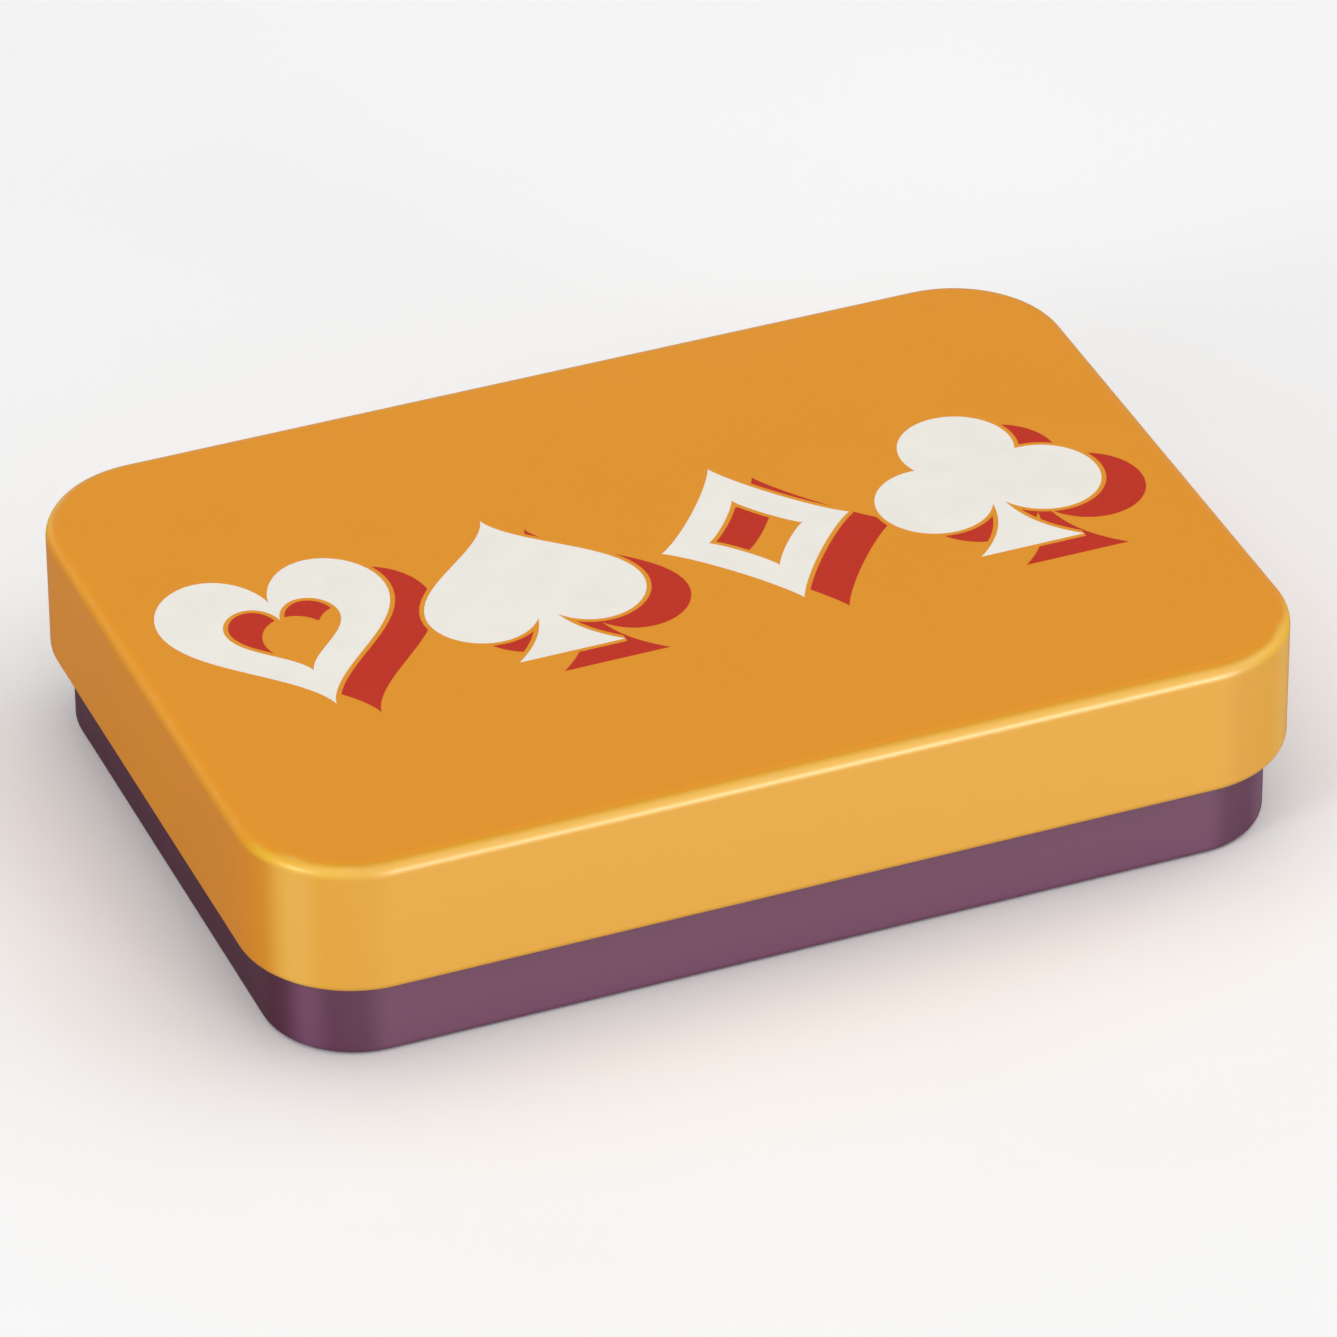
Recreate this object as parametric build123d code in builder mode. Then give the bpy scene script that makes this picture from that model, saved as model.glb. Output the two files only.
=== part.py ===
from build123d import *
import os

# Pocket tin: a slip lid over a shallow base, each drawn from one blank of printed tinplate.
# The origin is the middle of the underside, +X runs along the tin and +Z is up. Millimetres and degrees.

# The closed tin
lid_length = 100.0
lid_width = 70.0
lid_corner = 10.8  # radius of the lid's corners, seen from above
closed_height = 21.4
sheet = 0.25  # thickness of the tinplate
roll_turn = 250.0  # how far the sheet turns in each rolled edge

# The lid
lid_height = 13.4
lid_edge_radius = 1.2  # outside, where the top turns down into the skirt
skirt_roll_bore = 0.65  # radius inside the roll along the skirt's lower edge

# The base
rim_roll_bore = 0.35  # radius inside the roll round the mouth
foot_radius = 0.8  # outside, where the wall turns in under the tin
foot_width = 5.0  # from the wall to the raised panel in the underside
panel_corner = 4.0
panel_rise = 0.5
panel_lean = 45.0  # of the panel's sloping edge, from upright
panel_bend = 0.25  # radius inside the two bends of that edge

# How the lid fits the base
slip_clearance = 0.2  # between the skirt's roll and the base's wall, on each side
seat_gap = 0.05  # between the base's rolled rim and the lid's underside

# What follows from these
skirt_roll_radius = skirt_roll_bore + sheet
rim_roll_radius = rim_roll_bore + sheet
overhang = 2 * skirt_roll_radius + slip_clearance
base_length = lid_length - 2 * overhang
base_width = lid_width - 2 * overhang
base_corner = lid_corner - overhang
panel_length = base_length - 2 * foot_width
panel_width = base_width - 2 * foot_width
skirt_roll_level = closed_height - lid_height + skirt_roll_radius
rim_roll_level = closed_height - sheet - seat_gap - rim_roll_radius


def rolled_edge(wall_y, level, bore, turn):
    """Section of the sheet where it rolls in from a front wall: downward for a positive turn."""
    with BuildSketch(Plane(origin=(0, wall_y, level), x_dir=(0, 1, 0), z_dir=(1, 0, 0))) as section:
        with BuildLine():
            outside = CenterArc((bore + sheet, 0), bore + sheet, 180, turn)
            inside = CenterArc((bore + sheet, 0), bore, 180, turn)
            Line(outside @ 0, inside @ 0)
            Line(outside @ 1, inside @ 1)
        make_face()
    return section.sketch


# Lid: a tray upside down, its skirt rolled inward along the lower edge
with BuildPart() as lid:
    with BuildSketch(Plane.XY.offset(skirt_roll_level)) as skirt_outline:
        RectangleRounded(lid_length, lid_width, lid_corner)
    extrude(amount=closed_height - skirt_roll_level)
    fillet(lid.edges().group_by(Axis.Z)[-1], lid_edge_radius)
    offset(amount=-sheet, openings=lid.faces().sort_by(Axis.Z)[0])
    skirt_roll = rolled_edge(-lid_width / 2, skirt_roll_level, skirt_roll_bore, roll_turn)
    sweep(sections=skirt_roll, path=skirt_outline.wire())
lid.part.label = "lid"

# Base: a tray on a flat foot round a raised panel, its mouth rolled inward
with BuildPart() as base:
    with BuildSketch(Plane.XY.offset(rim_roll_level)) as mouth_outline:
        RectangleRounded(base_length, base_width, base_corner)
    extrude(amount=-rim_roll_level)
    fillet(base.edges().group_by(Axis.Z)[0], foot_radius)
    with BuildSketch():
        RectangleRounded(panel_length, panel_width, panel_corner)
    extrude(amount=panel_rise, taper=panel_lean, mode=Mode.SUBTRACT)
    foot_face = base.faces().filter_by(Plane.XY).sort_by(Axis.Z)[0]
    fillet(foot_face.inner_wires()[0].edges(), panel_bend + sheet)
    panel_face = base.faces().filter_by(Plane.XY).sort_by(Axis.Z)[1]
    fillet(panel_face.edges(), panel_bend)
    offset(amount=-sheet, openings=base.faces().sort_by(Axis.Z)[-1])
    rim_roll = rolled_edge(-base_width / 2, rim_roll_level, rim_roll_bore, -roll_turn)
    sweep(sections=rim_roll, path=mouth_outline.wire())
base.part.label = "base"

os.makedirs("parts", exist_ok=True)
export_step(lid.part, "parts/lid.step")
export_step(base.part, "parts/base.step")

for name, piece in (("lid", lid.part), ("base", base.part)):
    box = piece.bounding_box()
    print(name, "volume", round(piece.volume, 1), "from", box.min, "to", box.max)
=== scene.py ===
import math
from collections import namedtuple

import bpy
from bpy.props import FloatProperty, FloatVectorProperty, IntProperty, PointerProperty
from bpy.types import Operator, Panel, PropertyGroup
from bpy.utils import register_class, unregister_class
from mathutils import Matrix, Vector
from mathutils.geometry import delaunay_2d_cdt


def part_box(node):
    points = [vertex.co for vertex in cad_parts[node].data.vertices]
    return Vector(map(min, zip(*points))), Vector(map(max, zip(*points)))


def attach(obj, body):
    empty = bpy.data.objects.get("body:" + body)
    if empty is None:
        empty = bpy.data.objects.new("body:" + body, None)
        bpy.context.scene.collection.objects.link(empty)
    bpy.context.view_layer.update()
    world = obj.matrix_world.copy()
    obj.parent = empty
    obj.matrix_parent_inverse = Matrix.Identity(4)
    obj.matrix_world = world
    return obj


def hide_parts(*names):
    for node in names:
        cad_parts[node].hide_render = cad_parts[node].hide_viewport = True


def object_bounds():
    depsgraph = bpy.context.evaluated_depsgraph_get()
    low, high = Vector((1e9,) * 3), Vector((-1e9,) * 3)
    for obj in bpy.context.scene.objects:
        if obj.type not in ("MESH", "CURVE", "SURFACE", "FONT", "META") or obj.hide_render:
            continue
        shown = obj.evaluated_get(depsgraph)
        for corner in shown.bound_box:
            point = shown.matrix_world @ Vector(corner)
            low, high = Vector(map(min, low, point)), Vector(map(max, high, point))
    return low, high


bl_info = {
    "name": "Pocket Tin",
    "version": (1, 0, 0),
    "blender": (4, 5, 0),
    "location": "View3D > Sidebar > Pocket Tin",
    "description": "Makes a printed slip-lid pocket tin and the studio that it stands in",
    "category": "Object",
}

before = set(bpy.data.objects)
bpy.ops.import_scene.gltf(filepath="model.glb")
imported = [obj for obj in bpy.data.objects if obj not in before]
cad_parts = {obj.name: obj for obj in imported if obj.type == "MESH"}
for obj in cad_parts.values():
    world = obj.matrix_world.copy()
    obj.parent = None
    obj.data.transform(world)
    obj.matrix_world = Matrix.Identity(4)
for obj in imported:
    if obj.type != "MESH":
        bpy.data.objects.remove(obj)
cad_low, cad_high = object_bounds()
lid_low, lid_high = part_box("lid")
base_low, base_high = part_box("base")

MM = 0.001
QUARTER = math.radians(90)
TINY = 1e-7


def length_property(name, description, millimetres):
    """A size that the sidebar shows with its unit."""
    size = millimetres * MM
    return FloatProperty(name=name, description=description, default=size, unit="LENGTH", precision=5)


def angle_property(name, description, degrees):
    angle = math.radians(degrees)
    return FloatProperty(name=name, description=description, default=angle, subtype="ANGLE")


def colour_property(name, description, rgb):
    return FloatVectorProperty(
        name=name, description=description, default=rgb, size=3, subtype="COLOR", min=0, max=1
    )


def share_property(name, description, share):
    return FloatProperty(
        name=name, description=description, default=share, min=0, max=1, subtype="FACTOR"
    )


def strength_property(name, description, strength):
    return FloatProperty(name=name, description=description, default=strength, min=0)


def index_property(name, description, index):
    """A refractive index."""
    return FloatProperty(name=name, description=description, default=index, min=1)


def lens_property(name, description, millimetres):
    return FloatProperty(name=name, description=description, default=millimetres, unit="CAMERA")


def count_property(name, description, count, least):
    return IntProperty(name=name, description=description, default=count, min=least)


class TinShape(PropertyGroup):
    """Sizes of the sheet and of the bends in it; the overall sizes come from the lid and base in
    model.glb.
    """

    sheet: length_property("Sheet", "Thickness of the tinplate", 0.25)
    lid_corner: length_property("Lid corner", "Radius of the lid's corners seen from above", 10.8)
    lid_edge: length_property("Lid edge", "Outer radius between the lid's top and its skirt", 1.4)
    skirt_roll: length_property("Skirt roll", "Outer radius of the roll along the skirt's edge", 0.9)
    rim_roll: length_property("Rim roll", "Outer radius of the roll round the base's mouth", 0.6)
    roll_turn: angle_property("Roll turn", "How far the sheet turns in each roll", 250)
    foot_radius: length_property("Foot radius", "Outer radius between the base's wall and foot", 0.8)
    foot_width: length_property("Foot width", "From the base's wall to its raised panel", 5.0)
    panel_corner: length_property("Panel corner", "Radius of the raised panel's corners", 4.0)
    panel_rise: length_property("Panel rise", "Height of the panel above the foot", 0.5)
    panel_lean: angle_property("Panel lean", "Lean of the panel's sloping edge from upright", 45)
    panel_bend: length_property("Panel bend", "Inside radius of the bends at the panel's edge", 0.25)
    corner_steps: count_property("Corner steps", "Faces round each corner", 32, 4)
    bend_steps: count_property("Bend steps", "Faces across each quarter turn of a bend", 10, 3)


class TinPrint(PropertyGroup):
    """The row of suits printed on the lid, each with a red shadow set off from it."""

    height: length_property("Suit height", "Height of each printed suit", 23.0)
    pitch: length_property("Pitch", "From the middle of one suit to the next", 22.4)
    hollow: share_property("Hollow", "Size of a hollow suit's opening, as a share of the suit", 0.5)
    shadow_right: length_property("Shadow right", "How far the shadow lies to the right", 3.2)
    shadow_down: length_property("Shadow down", "How far the shadow lies towards the front edge", 2.8)
    keyline: length_property("Keyline", "Width of the bare line between suit and shadow", 0.45)
    ink: length_property("Ink", "Thickness of the printed ink", 0.012)
    outline_steps: count_property("Outline steps", "Points along half a suit", 48, 8)


class TinFinish(PropertyGroup):
    """Colours and gloss of the sheet, the lacquers and the inks, with painted light and shade in the
    lacquer tones.
    """

    lid_level: colour_property("Lid, level", "Orange lacquer on the lid's top", (0.775, 0.293, 0.008))
    # Painted sheen: the lid's long sides are paler and yellower than its top
    lid_long: colour_property("Lid, long sides", "The same on the long sides", (0.77, 0.368, 0.004))
    # Painted shade: the lid's ends are darker than its long sides
    lid_end: colour_property("Lid, ends", "The same on the two ends", (0.63, 0.222, 0.006))
    # Painted shade: the lid's corners are a little darker than its long sides
    lid_corner: colour_property("Lid, corners", "The same on the corners", (0.74, 0.344, 0.003))
    # Painted highlight: a pale band up the middle of each of the lid's corners
    lid_streak: colour_property("Lid, streak", "The same up a corner's middle", (0.78, 0.43, 0.060))
    # Painted highlight: paler and yellower where the lid's top bends down
    lid_rim: colour_property("Lid, rim", "The same where the top bends down", (0.78, 0.43, 0.010))
    base_level: colour_property("Base, level", "Purple lacquer under the base", (0.150, 0.060, 0.105))
    base_long: colour_property("Base, long sides", "The same on the long sides", (0.163, 0.041, 0.108))
    # Painted shade: the base's ends are darker than its long sides
    base_end: colour_property("Base, ends", "The same on the two ends", (0.078, 0.021, 0.042))
    # Painted shade: the base's corners are darker than its long sides
    base_corner: colour_property("Base, corners", "The same on the corners", (0.107, 0.018, 0.066))
    # Painted highlight: a paler band up the middle of each of the base's corners
    base_streak: colour_property("Base, streak", "The same up a corner's middle", (0.171, 0.060, 0.130))
    # Set with the lid's painted rim highlight: a tone darker than the base's long sides where its mouth
    # rolls in
    base_rim: colour_property("Base, rim", "The same where the mouth rolls in", (0.130, 0.030, 0.085))
    # How plainly the painted highlight up each corner shows
    streak: share_property("Streak", "How plainly the streak up the middle of each corner shows", 0.8)
    bend_shade: share_property("Bend shade", "How much darker the bends of the long sides are", 0.17)
    white_ink: colour_property("White ink", "Light ink of the suits", (0.865, 0.84, 0.775))
    red_ink: colour_property("Red ink", "Ink of the suits' shadows", (0.53, 0.022, 0.005))
    tinplate: colour_property("Tinplate", "Bare sheet inside the tin", (0.66, 0.645, 0.61))
    lacquer_metal: share_property("Lacquer metal", "Share of the metal that shows through", 0.05)
    lacquer_roughness: share_property("Lacquer roughness", "Roughness of the satin lacquer", 0.38)
    lacquer_gloss: share_property("Lacquer gloss", "Strength of the lacquer's white reflection", 0.1)
    varnish: share_property("Varnish", "Weight of the clear varnish on the long sides", 0.95)
    level_varnish: share_property("Level varnish", "Weight of the varnish on level faces", 0.12)
    end_varnish: share_property("End varnish", "Weight of the varnish on the two ends", 0.12)
    varnish_roughness: share_property("Varnish roughness", "Roughness of the clear varnish", 0.41)
    varnish_ior: index_property("Varnish index", "How strongly the varnish mirrors", 2.0)


class TinStudio(PropertyGroup):
    """Camera, floor and lights."""

    azimuth: angle_property("Azimuth", "Turn of the camera round the tin from its front", -21.89)
    elevation: angle_property("Elevation", "Height of the camera above the horizon", 33.87)
    roll: angle_property("Roll", "Turn of the camera about its own line of sight", -0.36)
    distance: length_property("Distance", "From the camera to the middle of the tin", 899.3)
    aim_right: length_property("Aim right", "How far the camera aims to the right of the middle", 0.41)
    aim_up: length_property("Aim up", "How far the camera aims above the middle", -0.67)
    lens: lens_property("Lens", "Focal length for a frame 36 mm wide", 266.5)
    floor_colour: colour_property("Floor colour", "Pale floor", (0.95, 0.95, 0.95))
    floor_mirrored: share_property("Floor mirrored", "Its brightness in the tin's reflections", 0.3)
    light_distance: length_property("Light distance", "From the tin's middle to each soft light", 1500)
    sky: strength_property("Sky", "Strength of the even light from all round", 0.56)
    front_strip: strength_property("Front strip", "Power of the low light ahead on the right", 6.7)
    left_strip: strength_property("Left strip", "Power of the light that the left corner mirrors", 6.2)
    front_box: strength_property("Front box", "Power of the wide light ahead", 1.2)
    right_box: strength_property("Right box", "Power of the wide light on the right", 3.8)
    back_box: strength_property("Back box", "Power of the low wide light behind", 2.2)
    ceiling: strength_property("Ceiling", "Power of the wide light straight above", 8.4)


Outline = namedtuple("Outline", "half_length half_width corner")
Station = namedtuple("Station", "outline inset level inward up side")
SoftLight = namedtuple("SoftLight", "azimuth elevation width height")

# Each light's azimuth and elevation in degrees, then its width and height in metres
LIGHTS = {
    "front_strip": SoftLight(22, 5, 0.45, 0.26),
    "left_strip": SoftLight(-72, 15, 0.35, 0.24),
    "front_box": SoftLight(0, 50, 2.4, 1.4),
    "right_box": SoftLight(80, 40, 1.6, 1.2),
    "back_box": SoftLight(190, 8, 2.0, 0.4),
    "ceiling": SoftLight(0, 88, 2.4, 2.4),
}

CORNERS = ((1, 1), (-1, 1), (-1, -1), (1, -1))
PRINTED, CUT, BARE = range(3)
CUT_STEPS = 8

# Proportions of the suits, as shares of a suit's height
HEART_WIDTH = 0.94
DIAMOND_WIDTH = 0.80
BLADE_WIDTH = 0.90
BLADE_HEIGHT = 0.84
BLADE_RISE = 0.08
STEM_SPREAD = 0.22
LEAF_RADIUS = 0.235
LEAF_DROP = 0.06
MIDDLE_RADIUS = 0.12

# The heart's curve before it is scaled: the waves that make its height, and its box's middle and height
HEART_WAVES = (13, -5, -2, -1)
HEART_MIDDLE = -2.5
HEART_HEIGHT = 29

# How strongly a lozenge's sides bow in, and the width of a stem's neck as a share of its foot's
DIAMOND_BOW = 2.3
STEM_NECK = 0.08

# Lacquer tones by where the sheet faces: painted shade on ends and corners, a painted highlight up each
# corner and on the lid's rim
LACQUER_PARTS = ("level", "long", "end", "corner", "streak", "rim")
BLACK = (0, 0, 0, 1)
WHITE = (1, 1, 1, 1)
WORN_COLOUR = (0.8, 0.78, 0.72, 1)

# Spans of a noise: where a tone drifts, where a scratch shows and where a rubbed edge breaks up
DRIFT_SPAN = (0.3, 0.7)
SCRATCH_SPAN = (0.72, 0.80)
RUB_SPAN = (0.45, 0.7)

# Spans of the turn round a corner, from 0 at the tin's end to 1 at its long side
HEADING_SPAN = (0.15, 0.85)
OFF_END_SPAN = (0.25, 0.6)

# Where in that turn the painted highlight up a corner lies, and how far it reaches to each side
HIGHLIGHT_STREAK_TURN = 0.46
HIGHLIGHT_STREAK_REACH = 0.16

# Spans of the sheet's tilt, from 1 where it lies level to 0 where it stands upright
LONG_SIDE_SPAN = (0.995, 0.85)
END_SPAN = (0.85, 0.1)
BEND_START = (1.0, 0.92)
BEND_END = (0.8, 0.5)
RIM_START = (0.94, 0.64)
RIM_END = (0.45, 0.0)
VARNISH_SPAN = (0.96, 0.6)

# How much of the rim's painted light the ends and the long sides take
RIM_SHARES = (0.15, 0.6)

# How far the lacquer's drift and its rubbed edge change its tone, and the drift its roughness
DRIFT_SHARE = 0.04
RUB_SHARE = 0.04
ROUGHNESS_DRIFT = 0.03

# How far down the lid's bend the rub lies, as a share of the bend's radius
RUB_DEPTH = 0.3

# How plainly the printed side shows handling marks, and how much rougher it is on a mark
PRINTED_MARKS = 0.35
MARK_ROUGHNESS = 0.12

# Height of the grain in lacquer, ink and tinplate
GRAIN_HEIGHT = 0.002 * MM


def arc(outline, middle, radius, start, turn, steps, side, facing=1):
    """Stations along a bend of the sheet. Facing is 1 on the outside of the bend and -1 inside it."""
    stations = []
    for step in range(steps + 1):
        angle = start + turn * step / steps
        inward, up = math.cos(angle), math.sin(angle)
        place = (middle[0] + radius * inward, middle[1] + radius * up)
        stations.append(Station(outline, *place, facing * inward, facing * up, side))
    return stations


def rolled_edge(outline, level, radius, sheet, turn, steps):
    """The printed side out to the sheet's cut edge, round it, and back along the bare side."""
    middle = (radius, level)
    end = math.pi + turn
    mid_sheet = radius - sheet / 2
    cut_middle = (radius + mid_sheet * math.cos(end), level + mid_sheet * math.sin(end))
    half_turn = math.copysign(math.pi, turn)
    outside = arc(outline, middle, radius, math.pi, turn, steps, PRINTED)
    cut = arc(outline, cut_middle, sheet / 2, end, half_turn, CUT_STEPS, CUT)
    inside = arc(outline, middle, radius - sheet, end, -turn, steps, BARE, facing=-1)
    return outside[:-1] + cut[:-1] + inside


def straight_runs(outline):
    """Half the straight run along the tin and half the one across it, between the corners."""
    return outline.half_length - outline.corner, outline.half_width - outline.corner


def ring_points(station, steps):
    """Points and normals of one ring round the tin."""
    straight_x, straight_y = straight_runs(station.outline)
    reach = station.outline.corner - station.inset
    ring = []
    for quarter, (side_x, side_y) in enumerate(CORNERS):
        for step in range(steps + 1):
            angle = QUARTER * (quarter + step / steps)
            out_x, out_y = math.cos(angle), math.sin(angle)
            across = (side_x * straight_x + reach * out_x, side_y * straight_y + reach * out_y)
            normal = (-station.inward * out_x, -station.inward * out_y, station.up)
            ring.append(((*across, station.level), normal))
    return ring


def sweep_section(name, stations, steps, materials):
    """A closed piece of sheet: its section swept round the outline, with a flat cap at each end.

    The section starts on a face that looks up and ends on one that looks down, so all faces look out.
    """
    rings = [ring_points(station, steps) for station in stations]
    count = len(rings[0])
    points = [point for ring in rings for point, normal in ring]
    normals = [normal for ring in rings for point, normal in ring]
    faces, sides = [], []
    for row, (upper, lower) in enumerate(zip(stations, stations[1:])):
        for i in range(count):
            j = (i + 1) % count
            here, below = row * count, (row + 1) * count
            faces.append((here + i, below + i, below + j, here + j))
            sides.append(min(upper.side, lower.side))
    faces.append(tuple(range(count)))
    sides.append(stations[0].side)
    last = (len(rings) - 1) * count
    faces.append(tuple(reversed(range(last, last + count))))
    sides.append(stations[-1].side)
    mesh = bpy.data.meshes.new(name)
    mesh.from_pydata(points, [], faces)
    for material in materials:
        mesh.materials.append(material)
    mesh.polygons.foreach_set("material_index", sides)
    mesh.shade_smooth()
    mesh.normals_split_custom_set_from_vertices(normals)
    return link_piece(name, mesh)


def link_piece(name, data):
    piece = bpy.data.objects.new(name, data)
    bpy.context.scene.collection.objects.link(piece)
    return piece


def lid_wall(shape):
    return Outline(lid_high.x, lid_high.y, shape.lid_corner)


def base_wall(shape):
    """Outline of the base's wall, with its corners struck from the same middles as the lid's."""
    return Outline(base_high.x, base_high.y, shape.lid_corner - (lid_high.x - base_high.x))


def roll_steps(shape):
    return round(shape.bend_steps * shape.roll_turn / QUARTER)


def lid_section(shape, printed):
    """Section of the lid, from the middle of its top round the rolled skirt and back under the top."""
    wall = lid_wall(shape)
    top = lid_high.z - printed.ink
    radius, sheet, steps = shape.lid_edge, shape.sheet, shape.bend_steps
    roll, roll_level = shape.skirt_roll, lid_low.z + shape.skirt_roll
    bend = (radius, top - radius)
    outside = arc(wall, bend, radius, QUARTER, QUARTER, steps, PRINTED)
    rolled = rolled_edge(wall, roll_level, roll, sheet, shape.roll_turn, roll_steps(shape))
    inside = arc(wall, bend, radius - sheet, math.pi, -QUARTER, steps, BARE, facing=-1)
    return outside + rolled + inside


def panel_edge(outline, shape, side, facing):
    """The two bends at the edge of the raised panel, from the panel out to the foot."""
    turn = QUARTER - shape.panel_lean
    half = math.tan(turn / 2)
    run = shape.panel_rise * math.tan(shape.panel_lean)
    tight, wide = shape.panel_bend, shape.panel_bend + shape.sheet
    upper, lower = (tight, wide) if facing < 0 else (wide, tight)
    upper_middle = (run + tight * half, base_low.z + shape.panel_rise - tight)
    lower_middle = (-wide * half, base_low.z + wide)
    steps = shape.bend_steps
    top = arc(outline, upper_middle, upper, QUARTER, turn, steps, side, facing)
    foot = arc(outline, lower_middle, lower, turn - QUARTER, -turn, steps, side, -facing)
    return top + foot


def base_section(shape):
    """Section of the base, from the middle of its floor round the rolled rim and back under it."""
    wall = base_wall(shape)
    panel_length, panel_width = wall.half_length - shape.foot_width, wall.half_width - shape.foot_width
    panel = Outline(panel_length, panel_width, shape.panel_corner)
    radius, sheet, steps = shape.foot_radius, shape.sheet, shape.bend_steps
    roll, roll_level = shape.rim_roll, base_high.z - shape.rim_roll
    bend = (radius, base_low.z + radius)
    under = panel_edge(panel, shape, PRINTED, -1)
    foot = arc(wall, bend, radius, 3 * QUARTER, -QUARTER, steps, PRINTED)
    rolled = rolled_edge(wall, roll_level, roll, sheet, -shape.roll_turn, roll_steps(shape))
    inner_foot = arc(wall, bend, radius - sheet, math.pi, QUARTER, steps, BARE, facing=-1)
    over = panel_edge(panel, shape, BARE, 1)
    from_under = under + foot + rolled + inner_foot + over[::-1]
    return from_under[::-1]


def heart_half(width, height, steps):
    """Right half of a heart, from its notch down to its tip, in a box centred on the origin."""
    half = []
    for step in range(steps + 1):
        t = math.pi * step / steps
        up = sum(wave * math.cos((i + 1) * t) for i, wave in enumerate(HEART_WAVES))
        half.append((math.sin(t) ** 3 * width / 2, (up - HEART_MIDDLE) / HEART_HEIGHT * height))
    return half


def diamond_half(width, height, steps):
    """Right half of a lozenge with sides that bow in a little."""
    half = []
    for step in range(steps + 1):
        t = math.pi * step / steps
        up = math.copysign(abs(math.cos(t)) ** DIAMOND_BOW, math.cos(t))
        half.append((math.sin(t) ** DIAMOND_BOW * width / 2, up * height / 2))
    return half


def stem_half(printed):
    """Right half of the flared stem of a spade or a club, from the suit's middle down to its foot."""
    spread, foot = STEM_SPREAD * printed.height, -printed.height / 2
    half = []
    for step in range(printed.outline_steps + 1):
        share = step / printed.outline_steps
        half.append((spread * (STEM_NECK + (1 - STEM_NECK) * share**3), foot * share))
    return half + [(0, foot)]


def grown(half, distance):
    """The half outline moved outward by a distance, cut off where it would cross the middle."""
    moved = []
    for i, (across, up) in enumerate(half):
        before, after = half[max(i - 1, 0)], half[min(i + 1, len(half) - 1)]
        run, rise = after[0] - before[0], after[1] - before[1]
        length = math.hypot(run, rise)
        moved.append((across - rise / length * distance, up + run / length * distance))
    return [point for point in moved if point[0] >= 0]


def both_halves(half):
    """Closed loop from a right half that runs from top to bottom."""
    left = [(-across, up) for across, up in half if across > TINY]
    return left + half[::-1]


def disc(across, up, radius, steps):
    turns = [math.tau * step / steps for step in range(steps)]
    return [(across + radius * math.cos(turn), up + radius * math.sin(turn)) for turn in turns]


def hollowed(whole, printed, grow):
    """Solid and hole loops of a suit with its own shape cut out of it, the ink grown on every edge."""
    hole = [(across * printed.hollow, up * printed.hollow) for across, up in whole]
    return [both_halves(grown(whole, grow))], [both_halves(grown(hole, -grow))]


def heart(printed, grow):
    size = printed.height
    return hollowed(heart_half(HEART_WIDTH * size, size, printed.outline_steps), printed, grow)


def diamond(printed, grow):
    size = printed.height
    return hollowed(diamond_half(DIAMOND_WIDTH * size, size, printed.outline_steps), printed, grow)


def spade(printed, grow):
    """An upturned heart for a blade, over a stem."""
    size = printed.height
    upright = heart_half(BLADE_WIDTH * size, BLADE_HEIGHT * size, printed.outline_steps)
    blade = [(across, BLADE_RISE * size - up) for across, up in upright[::-1]]
    return [both_halves(grown(blade, grow)), both_halves(grown(stem_half(printed), grow))], []


def club(printed, grow):
    """Three round leaves and a small disc that fills the gap between them, over a stem."""
    size, steps = printed.height, printed.outline_steps
    radius, drop = LEAF_RADIUS * size, LEAF_DROP * size
    leaves = [(0, size / 2 - radius), (-radius, -drop), (radius, -drop)]
    loops = [disc(across, up, radius + grow, 2 * steps) for across, up in leaves]
    middle = disc(0, drop, MIDDLE_RADIUS * size + grow, steps)
    return loops + [middle, both_halves(grown(stem_half(printed), grow))], []


def moved_loops(loops, across, up):
    return [[(x + across, y + up) for x, y in loop] for loop in loops]


def printed_layers(printed):
    """Outlines of suits, keylines and shadows, as a solid and a hole part for each suit in the row.

    A shadow's hole is wider than its suit's by a keyline on every side.
    """
    suits = (heart, spade, diamond, club)
    layers = {"suit": [], "keyline": [], "shadow": []}
    for place, suit in enumerate(suits):
        across = (place - (len(suits) - 1) / 2) * printed.pitch - printed.shadow_right / 2
        up = printed.shadow_down / 2
        plain = suit(printed, 0)
        wide = suit(printed, printed.keyline)
        thin = suit(printed, -printed.keyline)
        layers["suit"].append([moved_loops(loops, across, up) for loops in plain])
        layers["keyline"].append([moved_loops(loops, across, up) for loops in wide])
        shadow_place = (across + printed.shadow_right, up - printed.shadow_down)
        layers["shadow"].append([moved_loops(loops, *shadow_place) for loops in (plain[0], thin[1])])
    return layers


def cut_layers(layers):
    """All outlines cut against each other: points, triangles, and the outlines round each triangle."""
    points, loops, owners = [], [], {}
    for layer, suits in layers.items():
        for place, parts in enumerate(suits):
            for part, part_loops in enumerate(parts):
                for loop in part_loops:
                    owners[len(loops)] = (layer, place, part)
                    loops.append(list(range(len(points), len(points) + len(loop))))
                    points.extend(Vector(point) for point in loop)
    all_triangles, with_sources = 0, True
    cut = delaunay_2d_cdt(points, [], loops, all_triangles, TINY, with_sources)
    cut_points, _, triangles, *_, triangle_sources = cut
    outlines = [{owners[source] for source in sources} for sources in triangle_sources]
    return cut_points, triangles, outlines


def in_layer(outlines, layer, places):
    """Whether a triangle lies inside a suit of the layer, and not in its hollow."""
    return any((layer, place, 0) in outlines and (layer, place, 1) not in outlines for place in places)


def in_shadow(outlines, places):
    """Whether a triangle lies in a suit's shadow, whose own hollow shows only through the suit's."""
    for place in places:
        seen_through = ("suit", place, 1) in outlines
        if seen_through and ("shadow", place, 1) not in outlines:
            return True
        if not seen_through and ("shadow", place, 0) in outlines:
            return True
    return False


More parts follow.
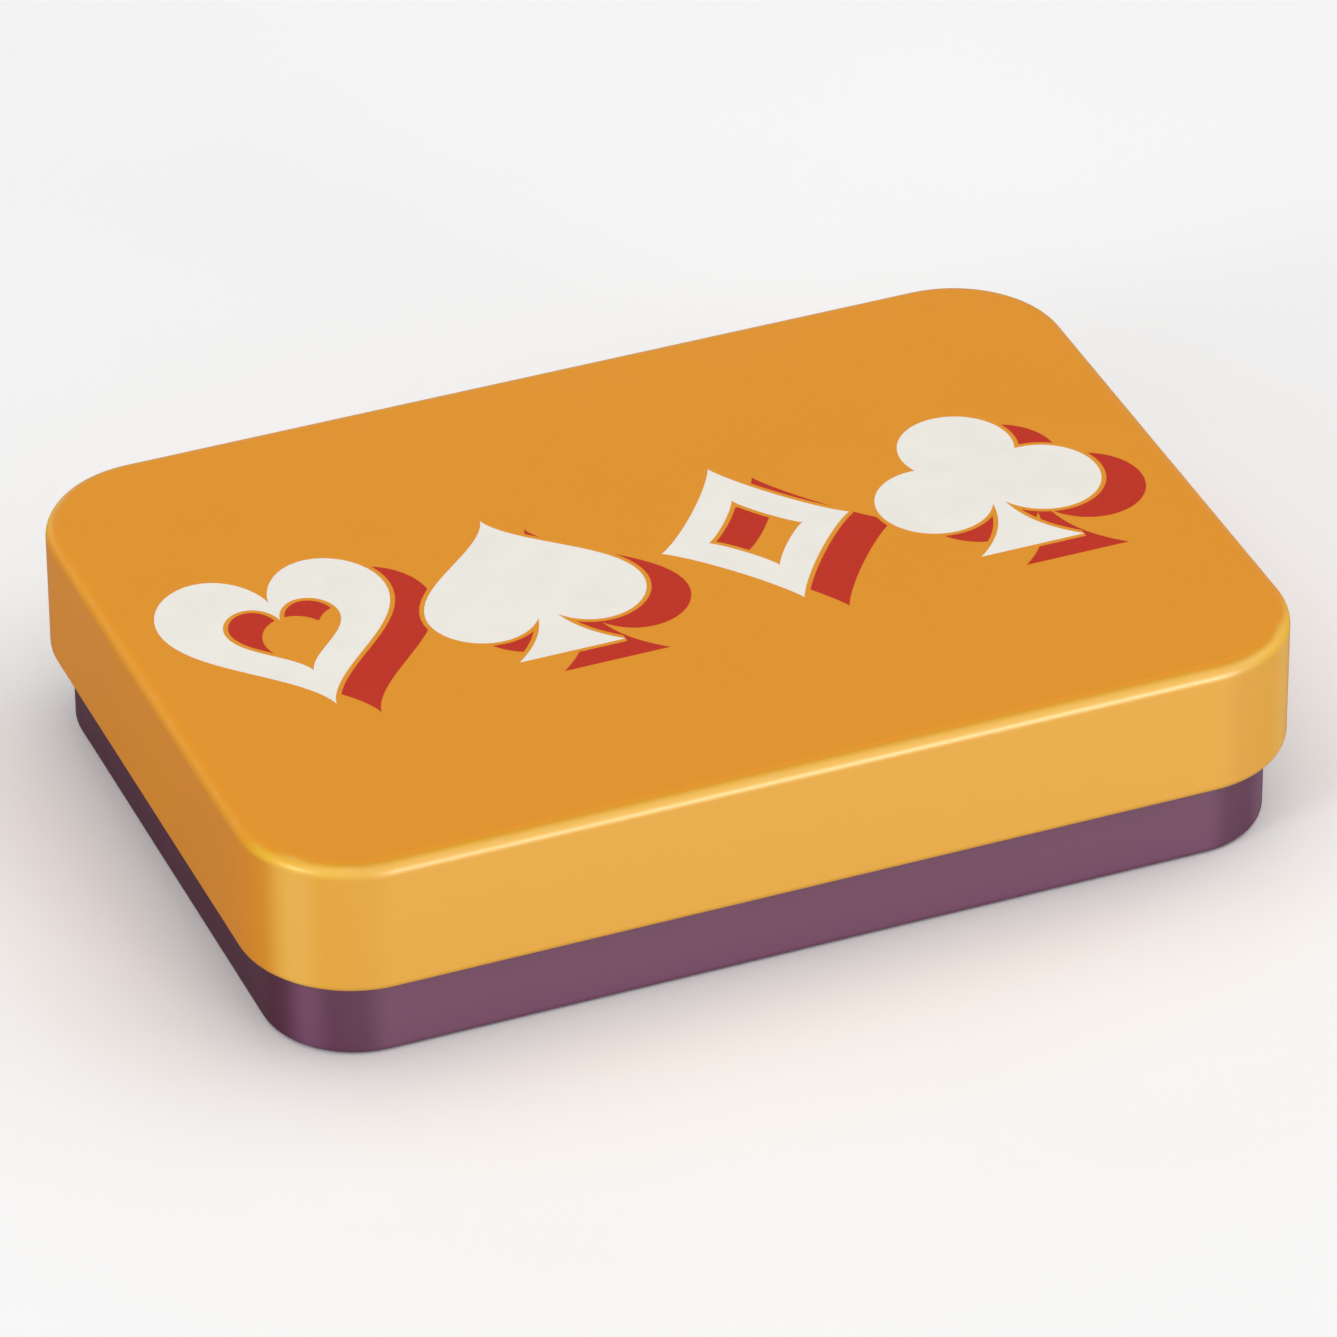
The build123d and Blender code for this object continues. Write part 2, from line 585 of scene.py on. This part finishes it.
def ink_piece(name, points, triangles, top, thickness, material):
    """A thin closed film of ink, flat on the lid."""
    used = sorted({corner for triangle in triangles for corner in triangle})
    index = {corner: place for place, corner in enumerate(used)}
    count = len(used)
    upper = [(points[corner].x, points[corner].y, top) for corner in used]
    lower = [(x, y, level - thickness) for x, y, level in upper]
    faces = [tuple(index[corner] for corner in triangle) for triangle in triangles]
    edges = {(face[i], face[(i + 1) % len(face)]) for face in faces for i in range(len(face))}
    walls = [(b, a, a + count, b + count) for a, b in edges if (b, a) not in edges]
    under = [tuple(corner + count for corner in reversed(face)) for face in faces]
    mesh = bpy.data.meshes.new(name)
    mesh.from_pydata(upper + lower, [], faces + under + walls)
    mesh.materials.append(material)
    return link_piece(name, mesh)


def add_node(tree, kind, sockets=None, **settings):
    """A node with its settings, and its inputs set or joined to other nodes' outputs."""
    node = tree.nodes.new(kind)
    for setting, value in settings.items():
        setattr(node, setting, value)
    for socket, value in (sockets or {}).items():
        if isinstance(value, bpy.types.NodeSocket):
            tree.links.new(value, node.inputs[socket])
        else:
            node.inputs[socket].default_value = value
    return node


def math_node(tree, operation, first, second=0.0, third=0.0):
    sockets = {0: first, 1: second, 2: third}
    return add_node(tree, "ShaderNodeMath", sockets, operation=operation).outputs[0]


def times(tree, first, second):
    return math_node(tree, "MULTIPLY", first, second)


def ramp(tree, value, span, result=(0.0, 1.0)):
    """Smooth step from one result to the other, while the value crosses the span."""
    labels = ("Value", "From Min", "From Max", "To Min", "To Max")
    sockets = dict(zip(labels, (value, *span, *result)))
    node = add_node(tree, "ShaderNodeMapRange", sockets, interpolation_type="SMOOTHSTEP")
    return node.outputs["Result"]


def between(tree, value, start, end):
    """1 between two spans of a value, fading in over the first and out over the second."""
    return times(tree, ramp(tree, value, start), ramp(tree, value, end, (1.0, 0.0)))


def mix_values(tree, share, first, second):
    return add_node(tree, "ShaderNodeMix", {0: share, 2: first, 3: second}).outputs[0]


def mix_colours(tree, share, first, second):
    return add_node(tree, "ShaderNodeMix", {0: share, 6: first, 7: second}, data_type="RGBA").outputs[2]


def noise(tree, place, size, detail):
    """Noise whose features are about as wide as the size."""
    sockets = {"Vector": place, "Scale": math_node(tree, "DIVIDE", 1.0, size), "Detail": detail}
    return add_node(tree, "ShaderNodeTexNoise", sockets).outputs["Fac"]


def opaque(colour, share=1):
    """A colour, or a share of its brightness, as a shader takes it."""
    return (*(share * part for part in colour), 1)


def effect(name, inputs, outputs):
    """An empty effect group and its two ends. An input has a default value, or None for a vector."""
    tree = bpy.data.node_groups.new(name, "ShaderNodeTree")
    for label, value in inputs.items():
        kind = "NodeSocketVector" if value is None else "NodeSocketFloat"
        socket = tree.interface.new_socket(label, in_out="INPUT", socket_type=kind)
        if value is not None:
            socket.default_value = value
    for label in outputs:
        tree.interface.new_socket(label, in_out="OUTPUT", socket_type="NodeSocketFloat")
    return tree, tree.nodes.new("NodeGroupInput").outputs, tree.nodes.new("NodeGroupOutput").inputs


def satin_grain_effect():
    """Fine grain of a satin surface, and the slow drift of its tone."""
    inputs = {"Place": None, "Grain Size": 0.2 * MM, "Drift Size": 9 * MM}
    tree, given, result = effect("Satin Grain", inputs, ("Height", "Drift"))
    tree.links.new(noise(tree, given["Place"], given["Grain Size"], detail=3.0), result["Height"])
    tree.links.new(noise(tree, given["Place"], given["Drift Size"], detail=2.0), result["Drift"])
    return tree


def handling_marks_effect():
    """Sparse hairline scratches that run in two directions, given in radians."""
    directions = (0.5, 2.1)
    thinness = 40
    inputs = {"Place": None, "Length": 6 * MM, "Amount": 0.5}
    tree, given, result = effect("Handling Marks", inputs, ("Mask",))
    marks = []
    for turn in directions:
        stretch = (1, thinness, thinness)
        drawn_out = {"Vector": given["Place"], "Rotation": (0, 0, turn), "Scale": stretch}
        mapping = add_node(tree, "ShaderNodeMapping", drawn_out)
        streaks = noise(tree, mapping.outputs[0], given["Length"], detail=0.0)
        marks.append(ramp(tree, streaks, SCRATCH_SPAN))
    both = math_node(tree, "MAXIMUM", *marks)
    tree.links.new(times(tree, both, given["Amount"]), result["Mask"])
    return tree


def corner_light_masks_effect():
    """Masks for how the lacquer's painted light and shade turn round a tray's upright corners.

    Heading is 1 where the sheet faces across the tin and 0 where it faces along it. Corner is 1 on the
    drawn-in corners and fades out widely, Mask is 1 on them away from the ends, and the last output
    places the painted highlight up the middle of each.
    """
    wide_fade = 2.0
    places = {"Place": None, "Facing": None}
    sizes = {"Straight X": 40 * MM, "Straight Y": 25 * MM, "Softness": 2.5 * MM}
    results = ("Heading", "Corner", "Mask", "Streak")
    tree, given, result = effect("Drawn Corner", {**places, **sizes}, results)
    place = add_node(tree, "ShaderNodeSeparateXYZ", {0: given["Place"]})
    facing = add_node(tree, "ShaderNodeSeparateXYZ", {0: given["Facing"]})
    past, turned = [], []
    for axis in "XY":
        size = math_node(tree, "ABSOLUTE", place.outputs[axis])
        past.append(math_node(tree, "SUBTRACT", size, given["Straight " + axis]))
        turned.append(math_node(tree, "ABSOLUTE", facing.outputs[axis]))
    both = math_node(tree, "ADD", math_node(tree, "ADD", *turned), TINY)
    turn = math_node(tree, "DIVIDE", turned[1], both)
    depth = math_node(tree, "MINIMUM", *past)
    in_corner = ramp(tree, depth, (0.0, given["Softness"]))
    off_highlight_streak = math_node(tree, "ABSOLUTE", math_node(tree, "SUBTRACT", turn, HIGHLIGHT_STREAK_TURN))
    on_highlight_streak = ramp(tree, off_highlight_streak, (0.0, HIGHLIGHT_STREAK_REACH), (1.0, 0.0))
    wide_softness = times(tree, given["Softness"], wide_fade)
    tree.links.new(ramp(tree, turn, HEADING_SPAN), result["Heading"])
    tree.links.new(ramp(tree, depth, (0.0, wide_softness)), result["Corner"])
    tree.links.new(times(tree, in_corner, ramp(tree, turn, OFF_END_SPAN)), result["Mask"])
    tree.links.new(times(tree, in_corner, on_highlight_streak), result["Streak"])
    return tree


def edge_rub_effect():
    """Light rubbing where a bend stands proud, at one level of the tin, broken up by a fine noise."""
    inputs = {"Place": None, "Level": 20 * MM, "Reach": 0.3 * MM, "Break Size": 1.5 * MM}
    tree, given, result = effect("Edge Rub", inputs, ("Mask",))
    place = add_node(tree, "ShaderNodeSeparateXYZ", {0: given["Place"]})
    away = math_node(tree, "ABSOLUTE", math_node(tree, "SUBTRACT", place.outputs["Z"], given["Level"]))
    outward = math_node(tree, "MINIMUM", math_node(tree, "DIVIDE", away, given["Reach"]), 1.0)
    band = math_node(tree, "SUBTRACT", 1.0, outward)
    breaks = noise(tree, given["Place"], given["Break Size"], detail=4.0)
    tree.links.new(times(tree, band, ramp(tree, breaks, RUB_SPAN)), result["Mask"])
    return tree


EFFECTS = {
    "Satin Grain": satin_grain_effect,
    "Handling Marks": handling_marks_effect,
    "Drawn Corner": corner_light_masks_effect,
    "Edge Rub": edge_rub_effect,
}


def place_effect(tree, name, sockets):
    """An effect group in a material, built the first time that it is asked for."""
    group = bpy.data.node_groups.get(name) or EFFECTS[name]()
    return add_node(tree, "ShaderNodeGroup", sockets, node_tree=group).outputs


def new_material(name):
    """A material, its tree, its shader, and the places and facings on the piece that it can ask for."""
    material = bpy.data.materials.new(name)
    material.use_nodes = True
    tree = material.node_tree
    place = add_node(tree, "ShaderNodeTexCoord").outputs
    return material, tree, tree.nodes["Principled BSDF"], place


def set_shader(tree, shader, **sockets):
    """Sets or joins the shader's inputs, named with underscores for spaces."""
    for label, value in sockets.items():
        socket = shader.inputs[label.replace("_", " ")]
        if isinstance(value, bpy.types.NodeSocket):
            tree.links.new(value, socket)
        else:
            socket.default_value = value


def bump(tree, height, distance, strength=1.0):
    sockets = {"Height": height, "Distance": distance, "Strength": strength}
    return add_node(tree, "ShaderNodeBump", sockets).outputs[0]


def worn_roughness(tree, grain, marks, smooth, rough, marked):
    """Roughness that drifts between two values, and rises where the surface is marked."""
    drifting = ramp(tree, grain["Drift"], DRIFT_SPAN, (smooth, rough))
    return math_node(tree, "MULTIPLY_ADD", marks["Mask"], marked, drifting)


def painted_light_tone(tree, tones, corner, upward, level, finish):
    """The lacquer's colour before wear, with light and shade painted in by the sheet's heading and its
    tilt.
    """
    early_turn = math_node(tree, "MAXIMUM", corner["Heading"], corner["Streak"])
    at_ends, at_long_sides = ramp(tree, level, END_SPAN), ramp(tree, level, LONG_SIDE_SPAN)
    turned_down = mix_values(tree, early_turn, at_ends, at_long_sides)
    # Painted shade on the ends, and on the lid a painted sheen on the long sides
    sides = mix_colours(tree, corner["Heading"], tones["end"], tones["long"])
    cornered = mix_colours(tree, corner["Mask"], sides, tones["corner"])
    # Painted highlight up the middle of each corner
    drawn = mix_colours(tree, times(tree, corner["Streak"], finish.streak), cornered, tones["streak"])
    body = mix_colours(tree, turned_down, tones["level"], drawn)
    # Painted shade on the bends of the long sides
    on_bend = times(tree, between(tree, level, BEND_START, BEND_END), corner["Heading"])
    shaded = mix_colours(tree, times(tree, on_bend, finish.bend_shade), body, BLACK)
    # Painted light along the rim: a paler highlight on the lid, a tone darker than the long sides on the
    # base
    side_share = mix_values(tree, corner["Heading"], *RIM_SHARES)
    rim_share = math_node(tree, "MAXIMUM", corner["Corner"], side_share)
    on_rim = times(tree, between(tree, upward, RIM_START, RIM_END), rim_share)
    return mix_colours(tree, on_rim, shaded, tones["rim"])


def lacquer_material(piece, outline, rub_level, finish):
    """Satin lacquer over tinplate, with light and shade painted into its tones by where the sheet faces.

    It has a tone for the level faces, the long sides (a painted sheen on the lid), the ends and the
    drawn-in corners (painted shade), the painted highlight up the middle of each corner, and the rim,
    where the sheet faces partly up (a painted highlight on the lid). Its varnish lies thickest on the
    long sides.
    """
    tones = {part: opaque(getattr(finish, f"{piece}_{part}")) for part in LACQUER_PARTS}
    material, tree, shader, place = new_material(piece + "_lacquer")
    here = {"Place": place["Object"]}
    straight_x, straight_y = straight_runs(outline)
    corners = {"Facing": place["Normal"], "Straight X": straight_x, "Straight Y": straight_y}
    grain = place_effect(tree, "Satin Grain", here)
    marks = place_effect(tree, "Handling Marks", {**here, "Amount": PRINTED_MARKS})
    corner = place_effect(tree, "Drawn Corner", {**here, **corners})
    rub = place_effect(tree, "Edge Rub", {**here, "Level": rub_level})
    upward = add_node(tree, "ShaderNodeSeparateXYZ", {0: place["Normal"]}).outputs["Z"]
    level = math_node(tree, "ABSOLUTE", upward)
    tone = painted_light_tone(tree, tones, corner, upward, level, finish)
    drift = ramp(tree, grain["Drift"], DRIFT_SPAN, (0.0, DRIFT_SHARE))
    drifted = mix_colours(tree, drift, tone, tones["corner"])
    worn = mix_colours(tree, times(tree, rub["Mask"], RUB_SHARE), drifted, WORN_COLOUR)
    smooth = finish.lacquer_roughness - ROUGHNESS_DRIFT
    rough = finish.lacquer_roughness + ROUGHNESS_DRIFT
    roughness = worn_roughness(tree, grain, marks, smooth, rough, MARK_ROUGHNESS)
    side_varnish = mix_values(tree, corner["Heading"], finish.end_varnish, finish.varnish)
    varnish = mix_values(tree, ramp(tree, level, VARNISH_SPAN), finish.level_varnish, side_varnish)
    set_shader(tree, shader, Base_Color=worn, Metallic=finish.lacquer_metal, Roughness=roughness)
    set_shader(tree, shader, Specular_IOR_Level=finish.lacquer_gloss, Coat_Weight=varnish)
    set_shader(tree, shader, Coat_Roughness=finish.varnish_roughness, Coat_IOR=finish.varnish_ior)
    set_shader(tree, shader, Normal=bump(tree, grain["Height"], GRAIN_HEIGHT, strength=0.4))
    return material


def ink_material(name, colour, finish):
    """Ink printed over the lacquer, under the same satin varnish."""
    material, tree, shader, place = new_material(name)
    here = {"Place": place["Object"]}
    grain = place_effect(tree, "Satin Grain", {**here, "Grain Size": 0.15 * MM, "Drift Size": 4 * MM})
    marks = place_effect(tree, "Handling Marks", {**here, "Amount": PRINTED_MARKS})
    drift = ramp(tree, grain["Drift"], DRIFT_SPAN)
    toned = mix_colours(tree, drift, opaque(colour), opaque(colour, share=0.97))
    roughness = worn_roughness(tree, grain, marks, smooth=0.40, rough=0.46, marked=MARK_ROUGHNESS)
    set_shader(tree, shader, Base_Color=toned, Roughness=roughness)
    set_shader(tree, shader, Specular_IOR_Level=finish.lacquer_gloss, Coat_Weight=finish.level_varnish)
    set_shader(tree, shader, Coat_Roughness=finish.varnish_roughness)
    set_shader(tree, shader, Normal=bump(tree, grain["Height"], GRAIN_HEIGHT, strength=0.5))
    return material


def tinplate_material(name, colour):
    """Bare tinplate with the fine lines of its rolling, which run along the tin. Lines are per metre."""
    lines_along, lines_across = 30, 4000
    material, tree, shader, place = new_material(name)
    here = {"Place": place["Object"]}
    grain = place_effect(tree, "Satin Grain", {**here, "Grain Size": 0.3 * MM})
    marks = place_effect(tree, "Handling Marks", {**here, "Amount": 0.6})
    drawn_out = {"Vector": place["Object"], "Scale": (lines_along, lines_across, lines_across)}
    mapping = add_node(tree, "ShaderNodeMapping", drawn_out)
    rolling = noise(tree, mapping.outputs[0], 1.0, detail=2.0)
    lines = ramp(tree, rolling, DRIFT_SPAN)
    toned = mix_colours(tree, lines, opaque(colour), opaque(colour, share=0.86))
    roughness = worn_roughness(tree, grain, marks, smooth=0.30, rough=0.38, marked=0.15)
    set_shader(tree, shader, Base_Color=toned, Metallic=1.0, Roughness=roughness)
    set_shader(tree, shader, Normal=bump(tree, rolling, GRAIN_HEIGHT, strength=0.5))
    return material


def cut_edge_material(name, colour):
    """The sheared edge of the sheet, where the steel shows."""
    material, tree, shader, place = new_material(name)
    grain = place_effect(tree, "Satin Grain", {"Place": place["Object"], "Grain Size": 0.08 * MM})
    steel, dark = opaque(colour, share=0.7), opaque(colour, share=0.4)
    toned = mix_colours(tree, ramp(tree, grain["Height"], DRIFT_SPAN), steel, dark)
    roughness = ramp(tree, grain["Height"], DRIFT_SPAN, (0.4, 0.6))
    set_shader(tree, shader, Base_Color=toned, Metallic=1.0, Roughness=roughness)
    set_shader(tree, shader, Normal=bump(tree, grain["Height"], 2 * GRAIN_HEIGHT))
    return material


def floor_material(name, colour, mirrored):
    """Matt paper with a faint drift of tone, dimmer in the tin's gloss, as if it ended close by."""
    material, tree, shader, place = new_material(name)
    sizes = {"Grain Size": 0.5 * MM, "Drift Size": 60 * MM}
    grain = place_effect(tree, "Satin Grain", {"Place": place["Object"], **sizes})
    drift = ramp(tree, grain["Drift"], DRIFT_SPAN)
    toned = mix_colours(tree, drift, opaque(colour), opaque(colour, share=0.985))
    in_gloss = add_node(tree, "ShaderNodeLightPath").outputs["Is Glossy Ray"]
    seen = mix_colours(tree, in_gloss, toned, opaque(colour, share=mirrored))
    set_shader(tree, shader, Base_Color=seen, Roughness=0.9)
    return material


class POCKETTIN_OT_lid(Operator):
    """Make the lid: printed outside, bare tinplate inside, with its skirt rolled in"""

    bl_idname = "pocket_tin.lid"
    bl_label = "Make Lid"

    def execute(self, context):
        shape = context.scene.pocket_tin_shape
        printed = context.scene.pocket_tin_print
        finish = context.scene.pocket_tin_finish
        rub_level = lid_high.z - RUB_DEPTH * shape.lid_edge
        lacquer = lacquer_material("lid", lid_wall(shape), rub_level, finish)
        materials = (lacquer, *sheet_materials(finish))
        piece = sweep_section("tin_lid", lid_section(shape, printed), shape.corner_steps, materials)
        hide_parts("lid")
        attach(piece, "lid")
        return {"FINISHED"}


class POCKETTIN_OT_base(Operator):
    """Make the base: printed outside, bare inside, with its rim rolled in and its panel raised"""

    bl_idname = "pocket_tin.base"
    bl_label = "Make Base"

    def execute(self, context):
        shape = context.scene.pocket_tin_shape
        finish = context.scene.pocket_tin_finish
        lacquer = lacquer_material("base", base_wall(shape), base_low.z, finish)
        materials = (lacquer, *sheet_materials(finish))
        piece = sweep_section("tin_base", base_section(shape), shape.corner_steps, materials)
        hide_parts("base")
        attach(piece, "base")
        return {"FINISHED"}


class POCKETTIN_OT_print(Operator):
    """Print the row of suits on the lid: light suits, each with a red shadow past a bare keyline"""

    bl_idname = "pocket_tin.print"
    bl_label = "Print Suits"

    def execute(self, context):
        printed = context.scene.pocket_tin_print
        finish = context.scene.pocket_tin_finish
        layers = printed_layers(printed)
        places = range(len(layers["suit"]))
        points, triangles, outlines = cut_layers(layers)
        suits, shadows = [], []
        for triangle, around in zip(triangles, outlines):
            if in_layer(around, "suit", places):
                suits.append(triangle)
            elif in_shadow(around, places) and not in_layer(around, "keyline", places):
                shadows.append(triangle)
        films = (
            ("print_suits", suits, "white_ink", finish.white_ink),
            ("print_shadows", shadows, "red_ink", finish.red_ink),
        )
        for name, film, slot, colour in films:
            material = ink_material(slot, colour, finish)
            piece = ink_piece(name, points, film, lid_high.z, printed.ink, material)
            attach(piece, "lid")
        return {"FINISHED"}


class POCKETTIN_OT_stage(Operator):
    """Set up the pale floor, the soft lights and the camera"""

    bl_idname = "pocket_tin.stage"
    bl_label = "Set Up Stage"

    def execute(self, context):
        studio = context.scene.pocket_tin_studio
        make_floor(studio)
        make_sky(studio)
        for name, light in LIGHTS.items():
            make_light(name, light, studio.light_distance, getattr(studio, name))
        make_camera(context, studio)
        context.scene.view_settings.view_transform = "Standard"
        return {"FINISHED"}


def sheet_materials(finish):
    """The cut edge and the bare side, shared by lid and base."""
    made = bpy.data.materials
    cut = made.get("cut_edge") or cut_edge_material("cut_edge", finish.tinplate)
    bare = made.get("bare_tinplate") or tinplate_material("bare_tinplate", finish.tinplate)
    return cut, bare


def make_floor(studio):
    """A wide sheet of paper, a hair below the tin's foot."""
    reach = 3.0
    hair = 0.02 * MM
    corners = [(side_x * reach, side_y * reach, base_low.z - hair) for side_x, side_y in CORNERS]
    mesh = bpy.data.meshes.new("floor")
    mesh.from_pydata(corners, [], [(0, 1, 2, 3)])
    mesh.materials.append(floor_material("floor_paper", studio.floor_colour, studio.floor_mirrored))
    link_piece("floor", mesh)


def make_sky(studio):
    world = bpy.data.worlds.new("even_sky")
    world.use_nodes = True
    background = world.node_tree.nodes["Background"]
    background.inputs["Color"].default_value = WHITE
    background.inputs["Strength"].default_value = studio.sky
    bpy.context.scene.world = world


def direction_to(turn, rise):
    """From the tin outward: turned from its front towards its right, and raised above the floor."""
    return Vector((math.sin(turn) * math.cos(rise), -math.cos(turn) * math.cos(rise), math.sin(rise)))


def make_light(name, soft, distance, power):
    """An oblong soft light, turned to the tin."""
    light = bpy.data.lights.new(name, "AREA")
    light.shape = "RECTANGLE"
    light.size, light.size_y = soft.width, soft.height
    light.energy = power
    lamp = link_piece(name, light)
    direction = direction_to(math.radians(soft.azimuth), math.radians(soft.elevation))
    lamp.location = direction * distance
    lamp.rotation_euler = direction.to_track_quat("Z", "Y").to_euler()


def make_camera(context, studio):
    """The photograph's view: turned and raised about the tin's middle, then rolled a little."""
    roll = studio.roll
    back = direction_to(studio.azimuth, studio.elevation)
    right = Vector((0, 0, 1)).cross(back).normalized()
    up = back.cross(right)
    middle = (cad_low + cad_high) / 2
    aim = middle + right * studio.aim_right + up * studio.aim_up
    rolled_right = right * math.cos(roll) + up * math.sin(roll)
    rolled_up = up * math.cos(roll) - right * math.sin(roll)
    place = Matrix((rolled_right, rolled_up, back)).transposed().to_4x4()
    place.translation = aim + back * studio.distance
    camera = bpy.data.cameras.new("camera")
    camera.lens = studio.lens
    camera.clip_start = 10 * MM
    camera_object = link_piece("camera", camera)
    camera_object.matrix_world = place
    context.scene.camera = camera_object


class VIEW3D_PT_pocket_tin(Panel):
    """Sizes, colours and steps of the pocket tin"""

    bl_label = "Pocket Tin"
    bl_idname = "VIEW3D_PT_pocket_tin"
    bl_space_type = "VIEW_3D"
    bl_region_type = "UI"
    bl_category = "Pocket Tin"

    def draw(self, context):
        layout = self.layout
        for step in STEPS:
            layout.operator(step.bl_idname)
        for holder, group in SETTINGS.items():
            box = layout.box()
            box.label(text=group.__name__)
            for setting in group.__annotations__:
                box.prop(getattr(context.scene, holder), setting)


STEPS = (POCKETTIN_OT_lid, POCKETTIN_OT_base, POCKETTIN_OT_print, POCKETTIN_OT_stage)
SETTINGS = {
    "pocket_tin_shape": TinShape,
    "pocket_tin_print": TinPrint,
    "pocket_tin_finish": TinFinish,
    "pocket_tin_studio": TinStudio,
}


def register():
    for group in SETTINGS.values():
        register_class(group)
    for step in (*STEPS, VIEW3D_PT_pocket_tin):
        register_class(step)
    for holder, group in SETTINGS.items():
        setattr(bpy.types.Scene, holder, PointerProperty(type=group))


def unregister():
    for holder in SETTINGS:
        delattr(bpy.types.Scene, holder)
    for step in (VIEW3D_PT_pocket_tin, *reversed(STEPS)):
        unregister_class(step)
    for group in reversed(SETTINGS.values()):
        unregister_class(group)


def main():
    register()
    bpy.ops.pocket_tin.lid()
    bpy.ops.pocket_tin.base()
    bpy.ops.pocket_tin.print()
    bpy.ops.pocket_tin.stage()


if __name__ == "__main__":
    main()
